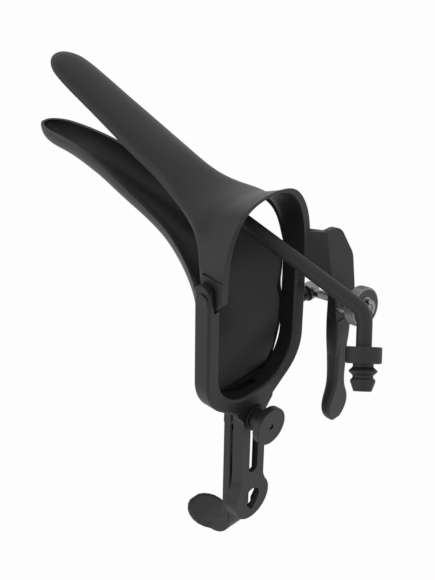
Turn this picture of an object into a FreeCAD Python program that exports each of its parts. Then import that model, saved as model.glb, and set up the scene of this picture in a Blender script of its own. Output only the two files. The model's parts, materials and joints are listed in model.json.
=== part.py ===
# Bivalve speculum with a sliding yoke, a hinged upper blade, a thumb lever held by a screw and
# knurled nut, and a smoke tube under the upper blade. Millimetres. X runs across the blades,
# +Y towards their tips and +Z up. The origin is the middle of the blade hinge's axis.
import FreeCAD, Part
import math, os
from FreeCAD import Vector

# Running gaps
turn_gap = 0.05
slide_gap = 0.15
side_gap = 0.25
seat_gap = 0.05

# Yoke: a U-shaped frame whose stem is a channel for the handle bar and ends in a ring
yoke_half_inner = 21.7
yoke_arm = 6.3
yoke_front = -3.5
yoke_depth = 8.0
yoke_floor = -55.3
yoke_corner = 18.0
yoke_knee = -49.5
yoke_knee_radius = 20.0
yoke_base = -70.4
yoke_base_radius = 16.7
yoke_edge = 1.2
arm_top = 6.2
stem_half = 6.6
stem_web = 2.2
stem_depth = 5.8
stem_top = -61.0
ring_height = -111.8
ring_radius = 10.2
ring_wall = 2.0
slot_half = 2.6
slot_travel = 26.0
eye_radius = 4.3
eye_rise = 0.7
eye_length = 5.3
eye_point = 1.3

# Blade hinge: the upper blade's ears sit in half-laps in the yoke's arms
lap_cheek = 2.7
lap_depth = 5.85
ear_radius = 5.6
hinge_pin_radius = 1.6
hinge_head_radius = 2.8
hinge_head = 0.6

# Blades
sheet = 1.4
nose = 15.0
core_spill = 3.0
upper_slope = 20.5
upper_reach = 112.5
upper_root = 38.0
upper_root_rise = 27.6
upper_half_root = 11.5
upper_half_tip = 8.9
upper_depth_root = 7.2
upper_depth_tip = 5.2
arch_front = -7.0
arch_height = 37.4
arch_dip = 29.0
leg_wall = 3.3
lower_reach = 121.0

# Handle bar, thumb rest and clamp
bar_half = 5.4
bar_front = 1.25
bar_top = -57.5
bend_radius = 15.0
rest_under = -136.5
rest_reach = 31.2
rest_half = 7.7
rest_tip_rise = 0.6
rest_thin = 1.6
stud_height = -68.5
stud_radius = 2.1
stud_reach = 12.0
stud_block = 6.4
washer_radius = 5.6
washer = 0.9
clamp_hub_radius = 4.4
clamp_hub = 5.0
clamp_disc_radius = 8.3
clamp_disc = 3.2
clamp_eye = 1.2

# Thumb lever and its adjusting screw
screw_side = 34.5
screw_height = -24.4
screw_tilt = 11.0
screw_radius = 1.8
screw_length = 33.6
screw_eye_radius = 3.7
screw_eye = 4.0
pivot_pin_radius = 1.5
pivot_spacer_radius = 2.7
pivot_head_radius = 2.9
pivot_head = 1.0
pivot_seat = 4.0
lever_reach = 17.3
lever_plate = 2.6
lever_left = 30.3
lever_slot_radius = 2.2
lever_slot_rise = 1.6
stalk_half = 3.8
stalk_depth = 6.0
stalk_middle = -16.2
paddle_half = 6.4
paddle_drift = 0.9
paddle_height = -73.5
lever_foot = -80.5
thrust_radius = 4.6
thrust_washer = 1.0
nut_hub_radius = 3.9
nut_hub = 9.0
nut_disc_radius = 8.2
nut_disc = 3.4
nut_boss_radius = 3.9
nut_boss = 2.6

# Smoke tube and hose connector
tube_radius = 3.0
tube_bore = 2.2
tube_start = 56.0
tube_knee = 24.0
tube_sink = 0.7
tube_knee_radius = 60.0
tube_side = 10.5
tube_reach = -46.8
tube_height = -0.8
tube_bend = 8.0
tube_drop = 13.0
tube_seat = 4.0
collar_radius = 6.9
collar = 6.3
barb_neck = 3.9
barb_radius = 5.4
tail_radius = 4.7
tail_end = 3.4
saddle_length = 12.0
saddle_wall = 1.2

yoke_back = yoke_front + yoke_depth
yoke_half_outer = yoke_half_inner + yoke_arm
lap_outer = yoke_half_outer - lap_cheek
ear_outer = lap_outer - side_gap
ear_inner = yoke_half_inner + side_gap / 2
flange_front = yoke_back + 0.5
channel_half = bar_half + slide_gap
across = Vector(1, 0, 0)
ahead = Vector(0, 1, 0)
forward = Vector(0, -1, 0)


def at(y, z, x=0.0):
    return Vector(x, y, z)


def unit(angle):
    return Vector(0, math.cos(math.radians(angle)), math.sin(math.radians(angle)))


def rod(start, direction, length, radius):
    return Part.makeCylinder(radius, length, start, direction)


def block(low, high):
    return Part.makeBox(high[0] - low[0], high[1] - low[1], high[2] - low[2], Vector(*low))


def fused(*shapes):
    return shapes[0].multiFuse(shapes[1:]).removeSplitter()


def both_sides(corners):
    # Mirrors the right-hand corners of an outline, listed from the top down, to the left.
    return corners + [(-x, z, radius) for x, z, radius in reversed(corners) if x]


def outline(corners, place):
    # A closed wire through (u, v, radius) corners, each rounded by a tangent arc of its radius.
    spots = [place(u, v) for u, v, radius in corners]
    turns = []
    for i, spot in enumerate(spots):
        radius = corners[i][2]
        back = (spots[i - 1] - spot).normalize()
        on = (spots[(i + 1) % len(spots)] - spot).normalize()
        if not radius:
            turns.append((spot,))
            continue
        half = math.acos(back.dot(on)) / 2
        trim = radius / math.tan(half)
        middle = (back + on).normalize()
        bow = spot + middle * (radius / math.sin(half) - radius)
        turns.append((spot + back * trim, bow, spot + on * trim))
    edges = []
    for i, turn in enumerate(turns):
        if len(turn) == 3:
            edges.append(Part.Arc(*turn).toShape())
        following = turns[(i + 1) % len(turns)][0]
        if turn[-1].distanceToPoint(following) > 0.001:
            edges.append(Part.makeLine(turn[-1], following))
    return Part.Wire(edges)


def plate(corners, place, thickness):
    return Part.Face(outline(corners, place)).extrude(thickness)


def front_view(y):
    return lambda x, z: Vector(x, y, z)


def side_view(x):
    return lambda y, z: Vector(x, y, z)


def arch_points(rim, crown, half, fullness, sweep, count=9):
    # An arch from one rim to the other: an elliptical arc, or a fuller curve with upright feet.
    rise = crown - rim
    reach = math.radians(sweep)
    points = []
    for i in range(count):
        angle = reach * (2.0 * i / (count - 1) - 1.0)
        share = math.sin(angle) / math.sin(reach)
        up = (math.cos(angle) - math.cos(reach)) / (1.0 - math.cos(reach))
        share = math.copysign(abs(share) ** (2 / fullness), share)
        up = max(up, 0.0) ** (2 / fullness)
        points.append(rim + across * (half * share) + rise * up)
    return points


def arch_edge(points):
    curve = Part.BSplineCurve()
    last = len(points) - 1
    curve.interpolate(Points=points, Parameters=[i / last for i in range(last + 1)])
    return curve.toShape()


def blade_shell(arches, tip, along, solid_rows=0):
    # A blade's shell from root to tip. An arch is (rim, crown, half width, fullness, sweep, side
    # wall, crown wall). The tip arch is repeated, ever smaller, to close the blade as a nose.
    outer = [arch[:5] for arch in arches]
    core = []
    for rim, crown, half, fullness, sweep, side, top in arches[solid_rows:]:
        rise = crown - rim
        core.append((rim, rim + rise * (1.0 - top / rise.Length), half - side, fullness, sweep))
    rim, crown, half, fullness, sweep = tip
    rise = crown - rim
    for share in (0.0, 0.45, 0.75, 0.92, 0.985):
        shrink = math.sqrt(1.0 - share * share)
        for arches, wall in ((outer, 0.0), (core, sheet)):
            foot = rim + along * ((nose - wall) * share)
            top = rise * ((1.0 - wall / rise.Length) * shrink)
            arches.append((foot, foot + top, (half - wall) * shrink, fullness, sweep))
    outer_wires, core_wires = [], []
    for arch in outer:
        points = arch_points(*arch)
        outer_wires.append(Part.Wire([arch_edge(points), Part.makeLine(points[-1], points[0])]))
    for arch in core:
        points = arch_points(*arch)
        spill = (arch[0] - arch[1]).normalize() * core_spill
        feet = [points[-1] + spill, points[0] + spill]
        core_wires.append(Part.Wire([
            arch_edge(points), Part.makeLine(points[-1], feet[0]),
            Part.makeLine(feet[0], feet[1]), Part.makeLine(feet[1], points[0])]))
    body = Part.makeLoft(outer_wires, True, False)
    return body.cut((Part.makeLoft(core_wires, True, False),), 0.001)


def make_lower_blade():
    # From the tongue on the handle bar, up the flange behind the yoke and out along the trough.
    back = flange_front
    rows = [
        (at(back, -74.0), at(back + sheet, -74.0), bar_half, 90),
        (at(back, -66.0), at(back + sheet, -66.2), bar_half + 0.6, 90),
        (at(back, -60.5), at(back + 1.7, -61.0), 10.0, 80),
        (at(back, -54.5), at(back + 2.9, -55.3), 15.6, 70),
        (at(back, -46.0), at(back + 4.6, -47.6), 20.6, 60),
        (at(back + 0.2, -36.5), at(10.6, -39.2), 23.4, 55),
        (at(back + 0.5, -25.5), at(13.2, -30.6), 24.2, 55),
        (at(back + 1.2, -12.5), at(17.2, -20.5), 24.2, 55),
        (at(8.6, -0.5), at(23.5, -10.2), 23.6, 60),
        (at(18.5, 6.0), at(32.2, -3.5), 19.4, 68),
        (at(33.5, 10.5), at(42.4, 0.3), 14.2, 76),
        (at(48.5, 14.2), at(54.6, 4.3), 11.8, 85),
        (at(60.0, 17.2), at(65.0, 6.8), 10.7, 90),
        (at(71.5, 20.2), at(76.0, 9.8), 9.8, 90),
        (at(84.0, 22.4), at(87.4, 12.3), 8.9, 90),
        (at(95.0, 23.2), at(97.3, 13.7), 8.0, 90),
    ]
    arches = [(rim, crown, half, 2.0, sweep, sheet, sheet) for rim, crown, half, sweep in rows]
    rim = at(lower_reach - nose, 23.0)
    tip = (rim, rim + at(1.4, -9.0), 7.3, 2.0, 90)
    bar_side = block((-bar_half - 1.0, bar_front, -75.0), (bar_half + 1.0, back, bar_top + 0.5))
    return blade_shell(arches, tip, at(1.0, -0.06), 3).cut(bar_side)


def make_upper_blade():
    # From the arch over the yoke, whose legs reach the hinge, back to the trough and out along it.
    along = unit(upper_slope)
    up = unit(upper_slope + 90)
    lift = arch_height - arch_dip
    rows = [
        (at(arch_front, -1.0), at(arch_front, arch_height), 25.0, 2.65, leg_wall, sheet),
        (at(-1.5, -1.0), at(-1.5, arch_dip + lift * 0.64), 24.9, 2.55, leg_wall, sheet),
        (at(3.6, 2.0), at(4.4, arch_dip + lift * 0.31), 24.4, 2.45, leg_wall * 0.8, sheet),
        (at(7.4, 13.5), at(10.5, arch_dip + lift * 0.09), 22.6, 2.2, leg_wall * 0.5, sheet),
        (at(14.5, 21.4), at(18.0, arch_dip), 18.8, 2.05, sheet, sheet),
        (at(25.5, 24.0), at(26.0, 30.3), 14.4, 2.0, sheet, sheet),
    ]
    arches = [(rim, crown, half, full, 90, side, top) for rim, crown, half, full, side, top in rows]
    root = at(upper_root, upper_root_rise)
    trough = (upper_reach - nose - upper_root) / along.y
    steps = 4
    for i in range(steps):
        share = i / steps
        rim = root + along * (trough * share)
        half = upper_half_root + (upper_half_tip - upper_half_root) * share
        depth = upper_depth_root + (upper_depth_tip - upper_depth_root) * share
        arches.append((rim, rim + up * depth, half, 2.0, 90, sheet, sheet))
    rim = root + along * trough
    shell = blade_shell(arches, (rim, rim + up * upper_depth_tip, upper_half_tip, 2.0, 90), along)
    ears = []
    for side in (-1, 1):
        face = side * ear_inner
        ears.append(rod(at(0, 0, face), across * side, ear_outer - ear_inner, ear_radius))
        low, high = sorted((face, side * ear_outer))
        ears.append(block((low, arch_front, 0.0), (high, 3.6, 9.0)))
    bore = rod(at(0, 0, -40.0), across, 80.0, hinge_pin_radius + turn_gap)
    head_room = rod(at(0, 0, -ear_inner), across, 2 * ear_inner, hinge_head_radius)
    return fused(shell, *ears).cut(bore).cut(head_room)


def make_yoke():
    half, inner = yoke_half_outer, yoke_half_inner
    depth = ahead * yoke_depth
    here = front_view(yoke_front)
    outside = [(half, arm_top, 0), (half, yoke_knee, yoke_knee_radius), (0, yoke_base, yoke_base_radius)]
    window = [(inner, arm_top + 5, 0), (inner, yoke_floor, yoke_corner)]
    frame = plate(both_sides(outside), here, depth).cut(plate(both_sides(window), here, depth))
    soft = [e for e in frame.Edges if e.BoundBox.YLength < 0.01 and e.BoundBox.ZMin < arm_top - 1]
    frame = frame.makeFillet(yoke_edge, soft)

    # Stem and ring, hollow from behind, with the slot for the clamp stud and the ring's eye
    deep = ahead * stem_depth
    neck = ring_height + ring_radius
    stem_outline = [(10.5, stem_top, 0), (10.5, stem_top - 1.8, 0), (stem_half, stem_top - 6.5, 4.0),
                    (stem_half, neck - 0.4, 6.0), (9.2, ring_height + 3.3, 0)]
    stem = plate(both_sides(stem_outline), here, deep)
    ring = rod(at(yoke_front, ring_height), ahead, stem_depth, ring_radius)
    web_back = yoke_front + stem_web
    hollow = block((-channel_half, web_back, neck - 6.0), (channel_half, yoke_back, stud_height + 3.5))
    ring_hollow = rod(at(web_back, ring_height), ahead, stem_depth, ring_radius - ring_wall)
    channel = block((-channel_half, bar_front - slide_gap, ring_height - ring_radius - 1.0),
                    (channel_half, yoke_back + 1.0, yoke_floor + 3.0))
    slot_top = stud_height + slot_half + 0.3
    slot_foot = stud_height - slot_travel - slot_half - 0.1
    slot_corners = [(slot_half, slot_top, slot_half - 0.01), (slot_half, slot_foot, slot_half - 0.01)]
    slot = plate(both_sides(slot_corners), here, deep)
    eye_height = ring_height + eye_rise
    eye = rod(at(yoke_front, eye_height), ahead, stem_web, eye_radius)
    point_height = eye_height - eye_length
    point = rod(at(yoke_front, point_height), ahead, stem_web, eye_point)
    lean = math.asin((eye_radius - eye_point) / eye_length)
    flanks = [(r * math.cos(lean), z - r * math.sin(lean), 0)
              for r, z in ((eye_radius, eye_height), (eye_point, point_height))]
    flanks = plate(both_sides(flanks), here, ahead * stem_web)
    yoke = fused(frame, stem, ring)
    yoke = yoke.cut(hollow).cut(ring_hollow).cut(channel).cut(slot).cut(fused(eye, point, flanks))

    # Half-laps for the ears, rounded arm tips, hinge pin seats and the screw pivot's seat
    crown = yoke_depth / 2
    middle = yoke_front + crown
    for side in (-1, 1):
        low, high = sorted((side * (inner - 1.0), side * lap_outer))
        yoke = yoke.cut(block((low, yoke_front - 1.0, -lap_depth), (high, yoke_back + 1.0, arm_top + 1.0)))
    tips = block((-half - 1.0, yoke_front - 1.0, arm_top - crown), (half + 1.0, yoke_back + 1.0, arm_top + 1.0))
    tips = tips.cut(rod(at(middle, arm_top - crown, -half - 1.0), across, 2 * half + 2.0, crown))
    seats = rod(at(0, 0, -half - 1.0), across, 2 * half + 2.0, hinge_pin_radius)
    pivot = rod(at(0, screw_height, half - pivot_seat), across, pivot_seat + 1.0, pivot_pin_radius)
    return yoke.cut(tips).cut(seats).cut(pivot)


def make_hinge_pin(side):
    # A rivet: head outside the cheek, shank through cheek and ear, small head inside the ear.
    out = across * side
    inside = ear_inner - turn_gap - hinge_head
    shank = rod(out * inside, out, yoke_half_outer + hinge_head - inside, hinge_pin_radius)
    head = rod(out * yoke_half_outer, out, hinge_head, hinge_head_radius)
    tail = rod(out * inside, out, hinge_head, hinge_head_radius - 0.4)
    return fused(shank, head, tail)


def make_handle_bar():
    # Flat bar behind the yoke's stem. Its foot bends towards the tips and widens to a thumb rest.
    back = flange_front
    thick = back - bar_front
    bend = rest_under + bend_radius
    here = side_view(-rest_half - 1.0)
    inner = bend_radius - thick
    turn = math.sqrt(0.5)
    centre = bar_front + bend_radius
    tip_under = rest_under + rest_tip_rise
    sag = (centre + rest_reach) / 2 + 3.0
    side = Part.Wire([
        Part.makeLine(here(back, bar_top), here(bar_front, bar_top)),
        Part.makeLine(here(bar_front, bar_top), here(bar_front, bend)),
        Part.Arc(here(bar_front, bend), here(centre - bend_radius * turn, bend - bend_radius * turn),
                 here(centre, rest_under)).toShape(),
        Part.Arc(here(centre, rest_under), here(sag, rest_under + 0.1), here(rest_reach, tip_under)).toShape(),
        Part.makeLine(here(rest_reach, tip_under), here(rest_reach, tip_under + rest_thin)),
        Part.Arc(here(rest_reach, tip_under + rest_thin), here(sag, rest_under + thick - 1.0),
                 here(centre, rest_under + thick)).toShape(),
        Part.Arc(here(centre, rest_under + thick), here(centre - inner * turn, bend - inner * turn),
                 here(back, bend)).toShape(),
        Part.makeLine(here(back, bend), here(back, bar_top)),
    ])
    profile = Part.Face(side).extrude(across * (2 * rest_half + 2.0))

    def from_above(x, y):
        return Vector(x, y, rest_under - 1.0)

    foot = [(bar_half, bar_front - 1.0, 0), (bar_half, bar_front + 5.0, 12.0), (rest_half, 15.5, 16.0),
            (rest_half, rest_reach, rest_half - 1.0)]
    mask = plate(both_sides(foot), from_above, Vector(0, 0, bend - rest_under + 1.0))
    mask = mask.fuse(block((-bar_half, bar_front - 1.0, bend - 0.5), (bar_half, back + 1.0, bar_top)))
    bar = profile.common(mask).removeSplitter()
    return bar.cut(rod(at(bar_front - 1.0, stud_height), ahead, thick + 2.0, stud_radius))


def make_clamp_stud():
    # Threaded stud riveted in the bar, with a block that slides in the stem's channel.
    web_back = yoke_front + stem_web + seat_gap
    shank = rod(at(flange_front, stud_height), forward, flange_front + stud_reach, stud_radius)
    half = channel_half - slide_gap
    backing = block((-half, web_back, stud_height - stud_block / 2),
                    (half, bar_front, stud_height + stud_block / 2))
    return fused(shank, backing)


def make_clamp_washer():
    start = at(yoke_front - seat_gap, stud_height)
    ring = rod(start, forward, washer, washer_radius)
    return ring.cut(rod(start, forward, washer, stud_radius + turn_gap))


def make_clamp_nut():
    start = at(yoke_front - washer - 2 * seat_gap, stud_height)
    hub = rod(start, forward, clamp_hub, clamp_hub_radius)
    disc = rod(start + forward * clamp_hub, forward, clamp_disc, clamp_disc_radius)
    disc = disc.makeFillet(0.5, [e for e in disc.Edges if e.BoundBox.YLength < 0.01])
    nut = fused(hub, disc)
    nut = nut.cut(rod(start, forward, stud_reach + start.y + side_gap, stud_radius + turn_gap))
    return nut.cut(rod(start, forward, 20.0, clamp_eye))


def on_screw(distance, rise=0.0, side=screw_side):
    # A point along the adjusting screw's line from its pivot, with an offset square to it.
    tilt = math.radians(screw_tilt)
    line = Vector(0, -math.cos(tilt), math.sin(tilt))
    up = Vector(0, math.sin(tilt), math.cos(tilt))
    return at(0, screw_height, side) + line * distance + up * rise


def screw_line():
    return (on_screw(1.0) - on_screw(0.0)).normalize()


def make_pivot_pin():
    # Pin in the yoke's right arm that carries the adjusting screw's eye.
    arm = yoke_half_outer
    eye_far = screw_side + screw_eye / 2 + side_gap
    shank = rod(at(0, screw_height, arm - pivot_seat), across, eye_far + pivot_seat - arm, pivot_pin_radius)
    return fused(shank, rod(at(0, screw_height, eye_far), across, pivot_head, pivot_head_radius))


def make_pivot_spacer():
    start = at(0, screw_height, yoke_half_outer)
    length = screw_side - screw_eye / 2 - side_gap - yoke_half_outer
    spacer = rod(start, across, length, pivot_spacer_radius)
    return spacer.cut(rod(start, across, length, pivot_pin_radius))


def make_adjusting_screw():
    centre = on_screw(0.0)
    eye = rod(centre - across * (screw_eye / 2), across, screw_eye, screw_eye_radius)
    shank = rod(centre, screw_line(), screw_length, screw_radius)
    bore = rod(centre - across * screw_eye, across, 2 * screw_eye, pivot_pin_radius + turn_gap)
    return fused(eye, shank).cut(bore)


def make_thrust_washer():
    start = on_screw(lever_reach + 0.45)
    ring = rod(start, screw_line(), thrust_washer, thrust_radius)
    return ring.cut(rod(start, screw_line(), thrust_washer, screw_radius + turn_gap))


def make_adjusting_nut():
    line = screw_line()
    start = on_screw(lever_reach + 0.45 + thrust_washer + seat_gap)
    hub = rod(start, line, nut_hub, nut_hub_radius)
    disc = rod(start + line * nut_hub, line, nut_disc, nut_disc_radius)
    boss = rod(start + line * (nut_hub + nut_disc), line, nut_boss, nut_boss_radius)
    return fused(hub, disc, boss).cut(rod(start, line, 20.0, screw_radius + turn_gap))


def make_lever():
    # A leaf square to the screw, joined by a web to the upper blade's right leg, then a stalk
    # and a paddle for the thumb.
    line = screw_line()

    def on_leaf(x, rise):
        return on_screw(lever_reach - lever_plate, rise, x)

    corners = [(lever_left, 31.8, 1.0), (38.2, 31.4, 6.5), (44.2, 17.0, 9.0), (42.8, -3.5, 6.0),
               (screw_side + stalk_half + 0.3, -11.5, 2.0), (screw_side - stalk_half - 0.3, -11.5, 0.5),
               (lever_left, -2.0, 3.0)]
    leaf = plate(corners, on_leaf, line * lever_plate)
    near, far = ear_inner + 0.1, ear_outer
    leg_end = [at(-6.6, -3.0, near), at(-6.6, 12.0, near), at(-6.6, 12.0, far), at(-6.6, -3.0, far)]
    leaf_end = [on_leaf(lever_left, 11.0) + line * lever_plate, on_leaf(lever_left, 31.6) + line * lever_plate,
                on_leaf(lever_left + 2.6, 30.8), on_leaf(lever_left + 2.6, 11.0)]
    wires = [Part.makePolygon(quad + quad[:1]) for quad in (leg_end, leaf_end)]
    web = Part.makeLoft(wires, True, True)
    rows = [(-29.0, stalk_half + 0.3, 4.2, -16.9), (-38.0, stalk_half, stalk_depth, stalk_middle),
            (-56.0, stalk_half - 0.5, stalk_depth, stalk_middle), (-65.0, stalk_half + 0.5, 5.2, stalk_middle),
            (paddle_height, paddle_half, 4.4, stalk_middle), (-78.0, paddle_half - 1.5, 3.9, stalk_middle),
            (lever_foot, 2.8, 3.4, stalk_middle)]
    sections = []
    for z, half, depth, middle in rows:
        drift = paddle_drift * (z - rows[0][0]) / (paddle_height - rows[0][0])
        ring = [(half, depth / 2, depth * 0.3), (-half, depth / 2, depth * 0.3),
                (-half, -depth / 2, depth * 0.3), (half, -depth / 2, depth * 0.3)]
        sections.append(outline(ring, lambda x, y: Vector(screw_side + drift + x, middle + y, z)))
    stalk = Part.makeLoft(sections, True, False)
    start = on_screw(lever_reach - lever_plate - 2.0)
    rise = on_screw(1.0, 1.0) - on_screw(1.0)
    lifts = (-lever_slot_rise, lever_slot_rise)
    ends = [rod(start + rise * lift, line, 8.0, lever_slot_radius) for lift in lifts]
    sides = [screw_side - lever_slot_radius, screw_side + lever_slot_radius]
    gap = [(sides[i], lifts[j], 0) for i, j in ((0, 0), (1, 0), (1, 1), (0, 1))]
    middle = plate(gap, lambda x, up: on_screw(lever_reach - lever_plate - 2.0, up, x), line * 8.0)
    return fused(leaf, web, stalk).cut(fused(*ends, middle))


def tube_route():
    # Corners of the tube's centre line: along the blade, out between the arms, then down.
    along = unit(upper_slope)
    up = unit(upper_slope + 90)
    under = at(upper_root, upper_root_rise) + up * (upper_depth_root - sheet - tube_radius - tube_sink)
    start = under + along * ((tube_start - upper_root) / along.y)
    knee = under + along * ((tube_knee - upper_root) / along.y)
    corner = at(tube_reach, tube_height, tube_side)
    down = Vector(-0.43, -0.38, -0.82).normalize()
    return [start, knee, corner, corner + down * (tube_drop + tube_seat)]


def swept_round(corners, radius, bends):
    edges = []
    here = corners[0]
    for i, bend in enumerate(bends, 1):
        back = (corners[i - 1] - corners[i]).normalize()
        on = (corners[i + 1] - corners[i]).normalize()
        half = math.acos(back.dot(on)) / 2
        trim = bend / math.tan(half)
        bow = corners[i] + (back + on).normalize() * (bend / math.sin(half) - bend)
        edges.append(Part.makeLine(here, corners[i] + back * trim))
        here = corners[i] + on * trim
        edges.append(Part.Arc(corners[i] + back * trim, bow, here).toShape())
    edges.append(Part.makeLine(here, corners[-1]))
    circle = Part.Wire([Part.makeCircle(radius, corners[0], corners[1] - corners[0])])
    return Part.Wire(edges).makePipeShell([circle], True, False)


def make_smoke_tube():
    bends = (tube_knee_radius, tube_bend)
    return swept_round(tube_route(), tube_radius, bends).cut(swept_round(tube_route(), tube_bore, bends))


def make_connector():
    # Turned fitting on the tube's end: a wide collar, a barb and a tapered tail.
    corner, end = tube_route()[2:]
    down = (end - corner).normalize()
    side = down.cross(across).normalize()
    base = end - down * tube_seat
    snug = tube_radius + seat_gap
    length = collar + 10.3
    profile = [(snug, 0.0), (collar_radius - 0.4, 0.0), (collar_radius, 0.4), (collar_radius, collar - 0.5),
               (collar_radius - 0.5, collar), (barb_neck, collar), (barb_neck, collar + 1.2),
               (barb_radius, collar + 2.6), (barb_radius, collar + 3.0), (barb_neck, collar + 4.4),
               (barb_neck, collar + 5.2), (tail_radius, collar + 6.0), (tail_radius, collar + 6.8),
               (tail_end, length), (tube_bore, length), (tube_bore, tube_seat + seat_gap),
               (snug, tube_seat + seat_gap)]
    spots = [base + side * radius + down * depth for radius, depth in profile]
    return Part.Face(Part.makePolygon(spots + spots[:1])).revolve(base, down, 360)


def make_saddle(blade):
    # Shoe brazed between the tube and the blade's underside.
    start, knee = tube_route()[:2]
    along = (start - knee).normalize()
    foot = start - along * (saddle_length + 8.0)
    shoe = rod(foot, along, saddle_length, tube_radius + saddle_wall)
    shoe = shoe.cut(rod(foot, along, saddle_length, tube_radius + turn_gap))
    parts = shoe.cut(blade).Solids
    return max(parts, key=lambda solid: solid.Volume)


def main():
    os.makedirs("parts", exist_ok=True)
    upper_blade = make_upper_blade()
    nodes = {
        "lower_blade": make_lower_blade(),
        "handle_bar": make_handle_bar(),
        "clamp_stud": make_clamp_stud(),
        "clamp_washer": make_clamp_washer(),
        "clamp_nut": make_clamp_nut(),
        "yoke_frame": make_yoke(),
        "hinge_pin_left": make_hinge_pin(-1),
        "hinge_pin_right": make_hinge_pin(1),
        "screw_pivot_pin": make_pivot_pin(),
        "pivot_spacer": make_pivot_spacer(),
        "upper_blade": upper_blade,
        "thumb_lever": make_lever().cut(upper_blade),
        "adjusting_screw": make_adjusting_screw(),
        "thrust_washer": make_thrust_washer(),
        "adjusting_nut": make_adjusting_nut(),
        "smoke_tube": make_smoke_tube(),
        "hose_connector": make_connector(),
        "tube_saddle": make_saddle(upper_blade),
    }
    for name, shape in nodes.items():
        print(name, len(shape.Solids), shape.isValid(), round(shape.Volume, 1))
        shape.exportStep("parts/" + name + ".step")


main()
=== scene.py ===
# Bivalve speculum: looks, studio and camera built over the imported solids. Metres, +Z up.

import json
import math

import bpy
from mathutils import Matrix, Vector


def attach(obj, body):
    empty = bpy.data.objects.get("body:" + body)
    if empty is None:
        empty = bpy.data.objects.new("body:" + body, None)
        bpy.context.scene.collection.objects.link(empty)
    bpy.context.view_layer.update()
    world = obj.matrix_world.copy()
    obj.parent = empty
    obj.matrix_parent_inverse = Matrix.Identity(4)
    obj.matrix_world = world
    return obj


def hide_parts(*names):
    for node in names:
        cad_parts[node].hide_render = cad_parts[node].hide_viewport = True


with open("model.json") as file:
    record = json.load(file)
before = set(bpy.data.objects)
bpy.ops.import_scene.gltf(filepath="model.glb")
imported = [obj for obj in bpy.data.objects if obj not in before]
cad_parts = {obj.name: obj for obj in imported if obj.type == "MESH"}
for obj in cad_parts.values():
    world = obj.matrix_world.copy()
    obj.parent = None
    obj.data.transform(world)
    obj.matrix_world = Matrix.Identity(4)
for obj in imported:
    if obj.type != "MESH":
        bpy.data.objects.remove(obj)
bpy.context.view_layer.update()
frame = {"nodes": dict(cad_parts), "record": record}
nodes = frame["nodes"]
print("frame loaded:", len(nodes), "nodes")


# The adjusting screw's line: out of the yoke's pivot, through the lever and the nut

screwLine = {
    "pivot": Vector((0.0345, 0.0, -0.0244)),
    "tilt": math.radians(11.0),
}
outward = Vector((0, -math.cos(screwLine["tilt"]), math.sin(screwLine["tilt"])))
screwTurn = outward.to_track_quat("Z", "Y").to_matrix().to_4x4()


def onScrew(distance):
    return screwLine["pivot"] + outward * distance


def alongScrew(point):
    return (point - screwLine["pivot"]).dot(outward)


def placeOnScrew(distance):
    return Matrix.Translation(onScrew(distance)) @ screwTurn


# Shader maths: a wrapped socket takes part in Python expressions

class Value:
    def __init__(self, tree, socket=None):
        self.tree, self.socket = tree, socket

    def node(self, kind, settings=None, values=None, out=0):
        made = self.tree.nodes.new(kind)
        for name, setting in (settings or {}).items():
            setattr(made, name, setting)
        feed(made, values or {})
        return Value(self.tree, made.outputs[out])

    def maths(self, operation, other=0.0, swap=False):
        pair = {0: other, 1: self} if swap else {0: self, 1: other}
        return self.node("ShaderNodeMath", {"operation": operation}, pair)

    def __add__(self, other): return self.maths("ADD", other)
    def __radd__(self, other): return self.maths("ADD", other, True)
    def __sub__(self, other): return self.maths("SUBTRACT", other)
    def __rsub__(self, other): return self.maths("SUBTRACT", other, True)
    def __mul__(self, other): return self.maths("MULTIPLY", other)
    def __rmul__(self, other): return self.maths("MULTIPLY", other, True)
    def __pow__(self, other): return self.maths("POWER", other)


def feed(node, values):
    # A wrapped socket is linked; anything else is set on the node's own socket
    for name, given in values.items():
        if isinstance(given, Value):
            given.tree.links.new(given.socket, node.inputs[name])
        else:
            node.inputs[name].default_value = given


def newMaterial(name):
    material = bpy.data.materials.new(name)
    material.use_nodes = True
    tree = material.node_tree
    place = Value(tree).node("ShaderNodeTexCoord", out="Object")
    return material, tree.nodes["Principled BSDF"], place


def noise(place, scale, detail):
    return place.node("ShaderNodeTexNoise",
                      values={"Vector": place, "Scale": scale, "Detail": detail})


def nearGrey(shade, blue):
    return shade.node("ShaderNodeCombineColor",
                      values={"Red": shade, "Green": shade, "Blue": shade * blue})


def bumpFrom(height, strength, distance):
    return height.node("ShaderNodeBump",
                       values={"Height": height, "Strength": strength, "Distance": distance})


coat = {
    "shade": 0.011,          # black of the coating
    "mottle": 0.006,         # how far the shade wanders
    "blue": 1.03,            # how much bluer than grey
    "roughness": 0.48, "roughnessWander": 0.10,
    "specular": 0.39,
    "cloudScale": 60.0, "cloudDetail": 4.0,
    "grainScale": 2600.0, "grainDetail": 2.0,
    "grainHeight": 0.00002, "grainStrength": 0.10,
}


def blackCoat(name, lighter=0.0, rougher=0.0):
    material, shader, place = newMaterial(name)
    cloud = noise(place, coat["cloudScale"], coat["cloudDetail"])
    grain = noise(place, coat["grainScale"], coat["grainDetail"])
    shade = (cloud - 0.5) * coat["mottle"] + (coat["shade"] + lighter)
    feed(shader, {
        "Base Color": nearGrey(shade, coat["blue"]),
        "Roughness": (cloud - 0.5) * coat["roughnessWander"] + (coat["roughness"] + rougher),
        "Normal": bumpFrom(grain, coat["grainStrength"], coat["grainHeight"]),
        "Specular IOR Level": coat["specular"],
    })
    return material


steel = {
    "shade": 0.22, "shadeWander": 0.06,
    "blue": 1.01,
    "roughness": 0.33, "roughnessWander": 0.12,
    "cloudScale": 90.0, "cloudDetail": 3.0,
    "streakScale": 1400.0, "streakDetail": 2.0,     # the turning marks
    "streakStretch": (0.05, 1.0, 1.0),
    "streakHeight": 0.00001, "streakStrength": 0.3,
}

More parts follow.
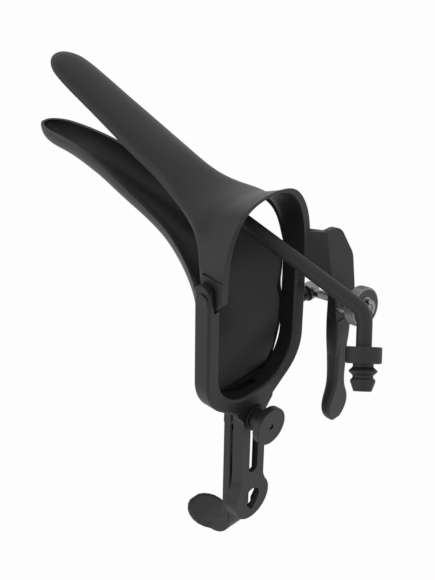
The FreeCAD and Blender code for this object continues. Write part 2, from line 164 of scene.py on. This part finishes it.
# Painted light on the nut: the boss and rim are painted lighter as highlights, the face is painted
# darker as shade
nutPaintedLight = {
    "boss": 0.27, "face": 0.055, "rim": 0.24,
    "bossRadius": 0.0042, "rimRadius": 0.00738,
}


def paintLightByRadius(place, paintedShading):
    # The nut's boss and rim get a painted highlight and its face a painted shade, told apart by
    # their distance from the screw's line
    kind, dot = "ShaderNodeVectorMath", {"operation": "DOT_PRODUCT"}
    arm = place.node(kind, {"operation": "SUBTRACT"}, {0: place, 1: screwLine["pivot"]})
    along = arm.node(kind, dot, {0: arm, 1: outward}, "Value")
    radius = (arm.node(kind, dot, {0: arm, 1: arm}, "Value") - along * along) ** 0.5
    onBoss = radius.maths("LESS_THAN", paintedShading["bossRadius"])
    onRim = radius.maths("GREATER_THAN", paintedShading["rimRadius"])
    face = paintedShading["face"]
    return onBoss * (paintedShading["boss"] - face) + onRim * (paintedShading["rim"] - face) + face


def bareSteel(name, rougher=0.0, paintedShading=None):
    material, shader, place = newMaterial(name)
    stretched = place.node("ShaderNodeMapping",
                           values={"Vector": place, "Scale": steel["streakStretch"]})
    marks = noise(stretched, steel["streakScale"], steel["streakDetail"])
    cloud = noise(place, steel["cloudScale"], steel["cloudDetail"])
    # On the nut only: painted highlight on the boss and rim, painted shade on the face
    middle = paintLightByRadius(place, paintedShading) if paintedShading else steel["shade"]
    shade = (cloud - 0.5) * steel["shadeWander"] + middle
    feed(shader, {
        "Base Color": nearGrey(shade, steel["blue"]),
        "Metallic": 1.0,
        "Roughness": (cloud - 0.5) * steel["roughnessWander"] + (steel["roughness"] + rougher),
        "Normal": bumpFrom(marks, steel["streakStrength"], steel["streakHeight"]),
    })
    return material


finishes = {
    "black_coat": blackCoat("blackCoat"),
    "black_coat_tube": blackCoat("blackCoatTube", 0.006, 0.08),
    "black_coat_turned": blackCoat("blackCoatTurned", 0.010, 0.02),
    "bare_steel": bareSteel("bareSteel"),
    # The knurled nut's steel carries its painted highlight and painted shade
    "knurled_steel": bareSteel("knurledSteel", 0.02, nutPaintedLight),
}
for entry in frame["record"]["subparts"]:
    mesh = nodes[entry["node"]].data
    mesh.materials.clear()
    mesh.materials.append(finishes[entry["material_slot"]])
print("finishes set")


# Steps that the pieces share

# How closely a direction follows another, as the cosine of the angle between them
parallel, facing, across = 0.99, 0.5, 0.2


def startRod(name, radius, depth, place, sides):
    bpy.ops.object.select_all(action="DESELECT")
    bpy.ops.mesh.primitive_cylinder_add(vertices=sides, radius=radius, depth=depth)
    piece = bpy.context.object
    piece.name = name
    piece.data.transform(place)
    return piece


def startBox(name, low, high):
    bpy.ops.object.select_all(action="DESELECT")
    bpy.ops.mesh.primitive_cube_add(size=1.0)
    piece = bpy.context.object
    piece.name = name
    middle = [(a + b) / 2 for a, b in zip(low, high)]
    sides = [b - a for a, b in zip(low, high)]
    piece.data.transform(Matrix.Translation(middle) @ Matrix.Diagonal((*sides, 1)))
    return piece


def editWith(chosen, kind="FACE"):
    # Edit mode with only the chosen faces or edges of the active mesh selected
    bpy.ops.object.mode_set(mode="EDIT")
    bpy.ops.mesh.select_mode(type=kind)
    bpy.ops.mesh.select_all(action="DESELECT")
    bpy.ops.object.mode_set(mode="OBJECT")
    mesh = bpy.context.object.data
    for item in (mesh.polygons if kind == "FACE" else mesh.edges):
        item.select = chosen(item)
    bpy.ops.object.mode_set(mode="EDIT")


def isCap(face):
    return len(face.vertices) > 4


def facesDown(face):
    return face.normal.z < -facing


def extrude(shift):
    bpy.ops.mesh.extrude_region_move(TRANSFORM_OT_translate={"value": shift})


def combine(piece, other, operation):
    bpy.context.view_layer.objects.active = piece
    step = piece.modifiers.new("combine", "BOOLEAN")
    step.operation, step.object, step.solver = operation, other, "EXACT"
    bpy.ops.object.modifier_apply(modifier="combine")
    bpy.data.objects.remove(other)


def joinInto(piece):
    # The selected mesh becomes part of the piece
    bpy.ops.object.mode_set(mode="OBJECT")
    piece.select_set(True)
    bpy.context.view_layer.objects.active = piece
    bpy.ops.object.join()


def roundEdges(piece, width, steps, angle):
    edge = piece.modifiers.new("edge", "BEVEL")
    edge.width, edge.segments, edge.limit_method = width, steps, "ANGLE"
    edge.angle_limit = math.radians(angle)
    bpy.ops.object.modifier_apply(modifier="edge")


def finishPiece(piece, body, slotName, smoothAngle):
    bpy.ops.object.mode_set(mode="OBJECT")
    bpy.ops.object.shade_smooth_by_angle(angle=math.radians(smoothAngle))
    piece.data.materials.clear()
    piece.data.materials.append(finishes[slotName])
    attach(piece, body)


# A hub, a knurled disc and a slotted boss, bored through

knurledNut = {
    "start": 0.0188,         # where the hub begins, from the pivot
    "hub": 0.0064,
    "disc": 0.0046, "discRadius": 0.0082, "discLip": 0.0005,
    "boss": 0.0020, "bossRadius": 0.0040,
    "bore": 0.00190, "boreLength": 0.03, "boreSides": 32,
    "teeth": 64, "rows": 5, "toothHeight": 0.00048,
    "rimShare": 0.985,       # share of the radius from which the mesh counts as rim
    "slotWidth": 0.0012, "slotDepth": 0.0016, "slotTurn": 105,
    "smoothAngle": 25,
}


def makeKnurledNut():
    nut = knurledNut
    discMiddle = nut["start"] + nut["hub"] + nut["disc"] / 2
    rim = nut["discRadius"] - nut["toothHeight"]
    piece = startRod("knurledNut", rim, nut["disc"], placeOnScrew(discMiddle), nut["teeth"])
    editWith(isCap)
    bpy.ops.mesh.inset(thickness=nut["discLip"])
    bpy.ops.mesh.inset(thickness=nut["discRadius"] - nut["discLip"] - nut["bossRadius"])
    editWith(lambda face: isCap(face) and face.normal.dot(outward) < 0)
    extrude(outward * -nut["hub"])
    editWith(lambda face: isCap(face) and face.normal.dot(outward) > 0)
    extrude(outward * nut["boss"])

    def nearRim(point):
        return (point - onScrew(alongScrew(point))).length > rim * nut["rimShare"]

    def isRimEdge(edge):
        a, b = (piece.data.vertices[i].co for i in edge.vertices)
        return abs((b - a).normalized().dot(outward)) > parallel and nearRim((a + b) / 2)

    def isRimFace(face):
        return abs(face.normal.dot(outward)) < across and nearRim(face.center)

    editWith(isRimEdge, "EDGE")
    bpy.ops.mesh.subdivide(number_cuts=nut["rows"] - 1)
    editWith(isRimFace)
    bpy.ops.mesh.poke(offset=nut["toothHeight"])
    bpy.ops.object.mode_set(mode="OBJECT")
    bossFace = nut["start"] + nut["hub"] + nut["disc"] + nut["boss"]
    reach, half, deep = 2 * nut["bossRadius"], nut["slotWidth"] / 2, nut["slotDepth"]
    slot = startBox("slot", (-reach, -half, -deep), (reach, half, deep))
    turn = Matrix.Rotation(math.radians(nut["slotTurn"]), 4, "Z")
    slot.data.transform(placeOnScrew(bossFace) @ turn)
    combine(piece, slot, "DIFFERENCE")
    bore = startRod("bore", nut["bore"], nut["boreLength"], placeOnScrew(discMiddle),
                    nut["boreSides"])
    combine(piece, bore, "DIFFERENCE")
    finishPiece(piece, "nut", "knurled_steel", nut["smoothAngle"])
    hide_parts("adjusting_nut")


makeKnurledNut()
print("nut modelled")

threadedScrew = {
    "radius": 0.0018, "sides": 24, "end": 0.0316,
    "threadFrom": 0.0062, "pitch": 0.00075, "threadDepth": 0.00028,
    "ringSlack": 0.00001,    # how far off its ring a vertex may lie
    "eyeRadius": 0.0037, "eyeThickness": 0.004, "eyeSides": 48,
    "eyeEdge": 0.0003, "eyeEdgeSteps": 2,
    "smoothAngle": 30,
}


def makeThreadedScrew():
    screw = threadedScrew
    spacing = screw["pitch"] / 2
    turns = int((screw["end"] - screw["threadFrom"]) / screw["pitch"])
    piece = startRod("threadedScrew", screw["radius"], screw["end"],
                     placeOnScrew(screw["end"] / 2), screw["sides"])
    bpy.ops.object.mode_set(mode="EDIT")
    for i in range(2 * turns + 1):
        bpy.ops.mesh.select_all(action="SELECT")
        bpy.ops.mesh.bisect(plane_co=onScrew(screw["threadFrom"] + i * spacing),
                            plane_no=outward)
    bpy.ops.object.mode_set(mode="OBJECT")
    # Every second ring of vertices is drawn in, as the thread's grooves
    for vertex in piece.data.vertices:
        distance = alongScrew(vertex.co) - screw["threadFrom"]
        ring = round(distance / spacing)
        if distance > 0 and ring % 2 == 1 and abs(distance - ring * spacing) < screw["ringSlack"]:
            centre = onScrew(alongScrew(vertex.co))
            narrower = 1 - screw["threadDepth"] / screw["radius"]
            vertex.co = centre + (vertex.co - centre) * narrower
    eyePlace = Matrix.Translation(screwLine["pivot"]) @ Matrix.Rotation(math.pi / 2, 4, "Y")
    startRod("eye", screw["eyeRadius"], screw["eyeThickness"], eyePlace, screw["eyeSides"])
    editWith(isCap)
    bpy.ops.mesh.bevel(offset=screw["eyeEdge"], segments=screw["eyeEdgeSteps"])
    joinInto(piece)
    finishPiece(piece, "screw", "bare_steel", screw["smoothAngle"])
    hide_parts("adjusting_screw")


makeThreadedScrew()
print("screw modelled")


# The bar joggles back below the clamp, runs behind the stem and ends in a dished thumb rest

handleBar = {
    "top": -0.0575, "joggleFrom": -0.0707,
    "clampHalf": 0.0054, "clampFront": 0.00125, "clampBack": 0.005,
    "joggle": Vector((0, 0.0026, -0.0026)),
    "half": 0.0064, "thick": 0.0040,
    "shoulderTop": -0.0600,
    "bend": 0.0105, "bendSteps": 10, "under": -0.1365,
    "rest": [                # (y, half width, thickness, rise) towards the tip
        (0.0170, 0.0077, 0.0034, 0.0001), (0.0200, 0.0085, 0.0029, 0.0004),
        (0.0230, 0.0086, 0.0025, 0.0010), (0.0258, 0.0080, 0.0022, 0.0017),
        (0.0280, 0.0068, 0.0019, 0.0023), (0.0297, 0.0049, 0.0017, 0.0029),
        (0.0307, 0.0026, 0.0016, 0.0033),
    ],
    "dishRim": 0.0013, "dish": 0.0005, "dishFacing": 0.8,
    "edge": 0.0007, "edgeSteps": 3, "edgeAngle": 32,
    "smoothAngle": 40,
}


def makeHandleBar():
    bar = handleBar
    clampThick = bar["clampBack"] - bar["clampFront"]
    piece = startBox("handleBar", (-bar["clampHalf"], bar["clampFront"], bar["joggleFrom"]),
                     (bar["clampHalf"], bar["clampBack"], bar["top"]))
    editWith(facesDown)
    extrude(bar["joggle"])
    front = bar["clampFront"] + bar["joggle"].y
    bpy.ops.transform.resize(value=(bar["half"] / bar["clampHalf"], bar["thick"] / clampThick, 1),
                             center_override=(0, front, 0))
    bendHeight = bar["under"] + bar["bend"]
    extrude((0, 0, bendHeight - bar["joggleFrom"] - bar["joggle"].z))
    bpy.ops.mesh.spin(steps=bar["bendSteps"], angle=math.radians(-90), axis=(1, 0, 0),
                      center=(0, front + bar["bend"], bendHeight))
    here, half, thick, height = front + bar["bend"], bar["half"], bar["thick"], 0.0
    for y, nextHalf, nextThick, rise in bar["rest"]:
        extrude((0, y - here, rise - height))
        bpy.ops.transform.resize(value=(nextHalf / half, 1, nextThick / thick),
                                 center_override=(0, y, bar["under"] + rise))
        here, half, thick, height = y, nextHalf, nextThick, rise
    restFrom = front + bar["bend"]
    editWith(lambda face: face.normal.z > bar["dishFacing"] and face.center.y > restFrom)
    bpy.ops.mesh.inset(thickness=bar["dishRim"])
    bpy.ops.transform.translate(value=(0, 0, -bar["dish"]))
    bpy.ops.mesh.select_all(action="SELECT")
    bpy.ops.mesh.normals_make_consistent(inside=False)
    bpy.ops.object.mode_set(mode="OBJECT")
    # The wide part also reaches up behind the clamp
    foot = bar["joggleFrom"] + 2 * bar["joggle"].z
    shoulder = startBox("shoulder", (-bar["half"], front, foot),
                        (bar["half"], front + bar["thick"], bar["shoulderTop"]))
    combine(piece, shoulder, "UNION")
    roundEdges(piece, bar["edge"], bar["edgeSteps"], bar["edgeAngle"])
    finishPiece(piece, "base", "black_coat", bar["smoothAngle"])
    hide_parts("handle_bar")


makeHandleBar()
print("handle bar modelled")


# A swelling that carries the lever's leaf into its stalk, with a cheek on its left

leverNeck = {
    "side": 0.0345,
    "rows": [                # (height, half width, back, front) from the top down
        (-0.0284, 0.0041, -0.0128, -0.0187), (-0.0330, 0.0041, -0.0129, -0.0194),
        (-0.0390, 0.0039, -0.0131, -0.0193), (-0.0470, 0.0034, -0.0136, -0.0188),
    ],
    "cheekTop": -0.0130, "cheekFoot": -0.0310, "cheekRight": 0.0322,
    "cheekFronts": (-0.0152, -0.0187),
    "edge": 0.0008, "edgeSteps": 4, "edgeAngle": 40,
    "smoothAngle": 40,
}


def makeLeverNeck():
    neck = leverNeck
    side = neck["side"]
    top, topHalf, topBack, topFront = neck["rows"][0]
    here, halfHere, backHere, frontHere = neck["rows"][1][0], topHalf, topBack, topFront
    piece = startBox("leverNeck", (side - topHalf, topFront, here), (side + topHalf, topBack, top))
    editWith(facesDown)
    for i, (height, half, back, front) in enumerate(neck["rows"][1:]):
        if i > 0:
            extrude((0, 0, height - here))
        middle = (back + front) / 2
        bpy.ops.transform.translate(value=(0, middle - (backHere + frontHere) / 2, 0))
        narrower = (half / halfHere, (back - front) / (backHere - frontHere), 1)
        bpy.ops.transform.resize(value=narrower, center_override=(side, middle, height))
        here, halfHere, backHere, frontHere = height, half, back, front
    bpy.ops.object.mode_set(mode="OBJECT")
    upperFront, lowerFront = neck["cheekFronts"]
    startBox("cheek", (side - topHalf, lowerFront, neck["cheekFoot"]),
             (neck["cheekRight"], topBack, neck["cheekTop"]))
    editWith(lambda face: face.normal.z > facing)
    thinner = (topBack - upperFront) / (topBack - lowerFront)
    bpy.ops.transform.resize(value=(1, thinner, 1), center_override=(0, topBack, 0))
    joinInto(piece)
    roundEdges(piece, neck["edge"], neck["edgeSteps"], neck["edgeAngle"])
    finishPiece(piece, "upper", "black_coat", neck["smoothAngle"])


makeLeverNeck()
print("lever neck modelled")


# Studio: a pale floor, soft lamps and a camera at the photograph's angle

white = (1, 1, 1, 1)
studio = {
    "floorHeight": -0.19, "floorSize": 8.0,
    "floorColour": (0.9, 0.9, 0.9, 1), "floorRoughness": 0.9,
    "floorGlow": 0.97,       # the rest of the floor is lit, and takes shadow
    "worldLight": 0.45,
    "aim": Vector((0, 0.02, -0.03)),
    "lamps": {               # name: (place, size, watts)
        "keyLeft": ((-0.9, 0.35, 0.05), 0.9, 2.2),
        "fillFront": ((0.1, -1.2, 0.2), 1.0, 1.2),
        "topSoft": ((0.3, -0.1, 1.1), 1.2, 1.0),
    },
}


def seenRays(tree):
    # 1 where the camera looks, and where gloss or glass mirrors the studio
    camera, glossy, through = (
        Value(tree).node("ShaderNodeLightPath", out=name)
        for name in ("Is Camera Ray", "Is Glossy Ray", "Is Transmission Ray"))
    return camera.maths("MAXIMUM", glossy).maths("MAXIMUM", through)


def makeFloor():
    bpy.ops.object.select_all(action="DESELECT")
    bpy.ops.mesh.primitive_plane_add(size=studio["floorSize"],
                                     location=(0, 0, studio["floorHeight"]))
    floor = bpy.context.object
    floor.name = "floor"
    material, shader = newMaterial("paleFloor")[:2]
    feed(shader, {"Base Color": studio["floorColour"], "Roughness": studio["floorRoughness"],
                  "Specular IOR Level": 0.0})
    tree = material.node_tree
    lit = Value(tree, shader.outputs["BSDF"])
    glow = lit.node("ShaderNodeEmission", values={"Color": white})
    share = seenRays(tree) * studio["floorGlow"]
    mixed = lit.node("ShaderNodeMixShader", values={0: share, 1: lit, 2: glow})
    feed(tree.nodes["Material Output"], {"Surface": mixed})
    floor.data.materials.append(material)


def makeWorld():
    world = bpy.data.worlds.new("studioWorld")
    bpy.context.scene.world = world
    world.use_nodes = True
    tree = world.node_tree
    strength = seenRays(tree) * (1.0 - studio["worldLight"]) + studio["worldLight"]
    feed(tree.nodes["Background"], {"Color": white, "Strength": strength})


def makeLamps():
    for name, (place, size, watts) in studio["lamps"].items():
        bpy.ops.object.light_add(type="AREA", location=place)
        lamp = bpy.context.object
        lamp.name = name
        lamp.data.size = size
        lamp.data.energy = watts
        lamp.rotation_euler = (Vector(place) - studio["aim"]).to_track_quat("Z", "Y").to_euler()


view = {
    "azimuth": -46.8, "elevation": 33.2, "roll": 1.05,   # degrees
    "distance": 0.600,
    "target": Vector((-0.0008, 0.018, -0.016)),
    "focal": 1510.0, "imageHeight": 580.0,               # pixels
    "sensorHeight": 36.0,                                # millimetres
    "clipStart": 0.01,
}


def makeCamera():
    azimuth, elevation = math.radians(view["azimuth"]), math.radians(view["elevation"])
    level = math.cos(elevation)
    back = Vector((math.sin(azimuth) * level, -math.cos(azimuth) * level, math.sin(elevation)))
    right = Vector((math.cos(azimuth), math.sin(azimuth), 0))
    turned = Matrix((right, back.cross(right), back)).transposed().to_4x4()
    turned = turned @ Matrix.Rotation(math.radians(view["roll"]), 4, "Z")
    bpy.ops.object.camera_add()
    camera = bpy.context.object
    camera.matrix_world = Matrix.Translation(view["target"] + back * view["distance"]) @ turned
    camera.data.sensor_fit = "VERTICAL"
    camera.data.sensor_height = view["sensorHeight"]
    camera.data.lens = view["focal"] * view["sensorHeight"] / view["imageHeight"]
    camera.data.clip_start = view["clipStart"]
    bpy.context.scene.camera = camera


makeFloor()
makeWorld()
makeLamps()
makeCamera()
bpy.context.scene.view_settings.view_transform = "Standard"
print("studio set")
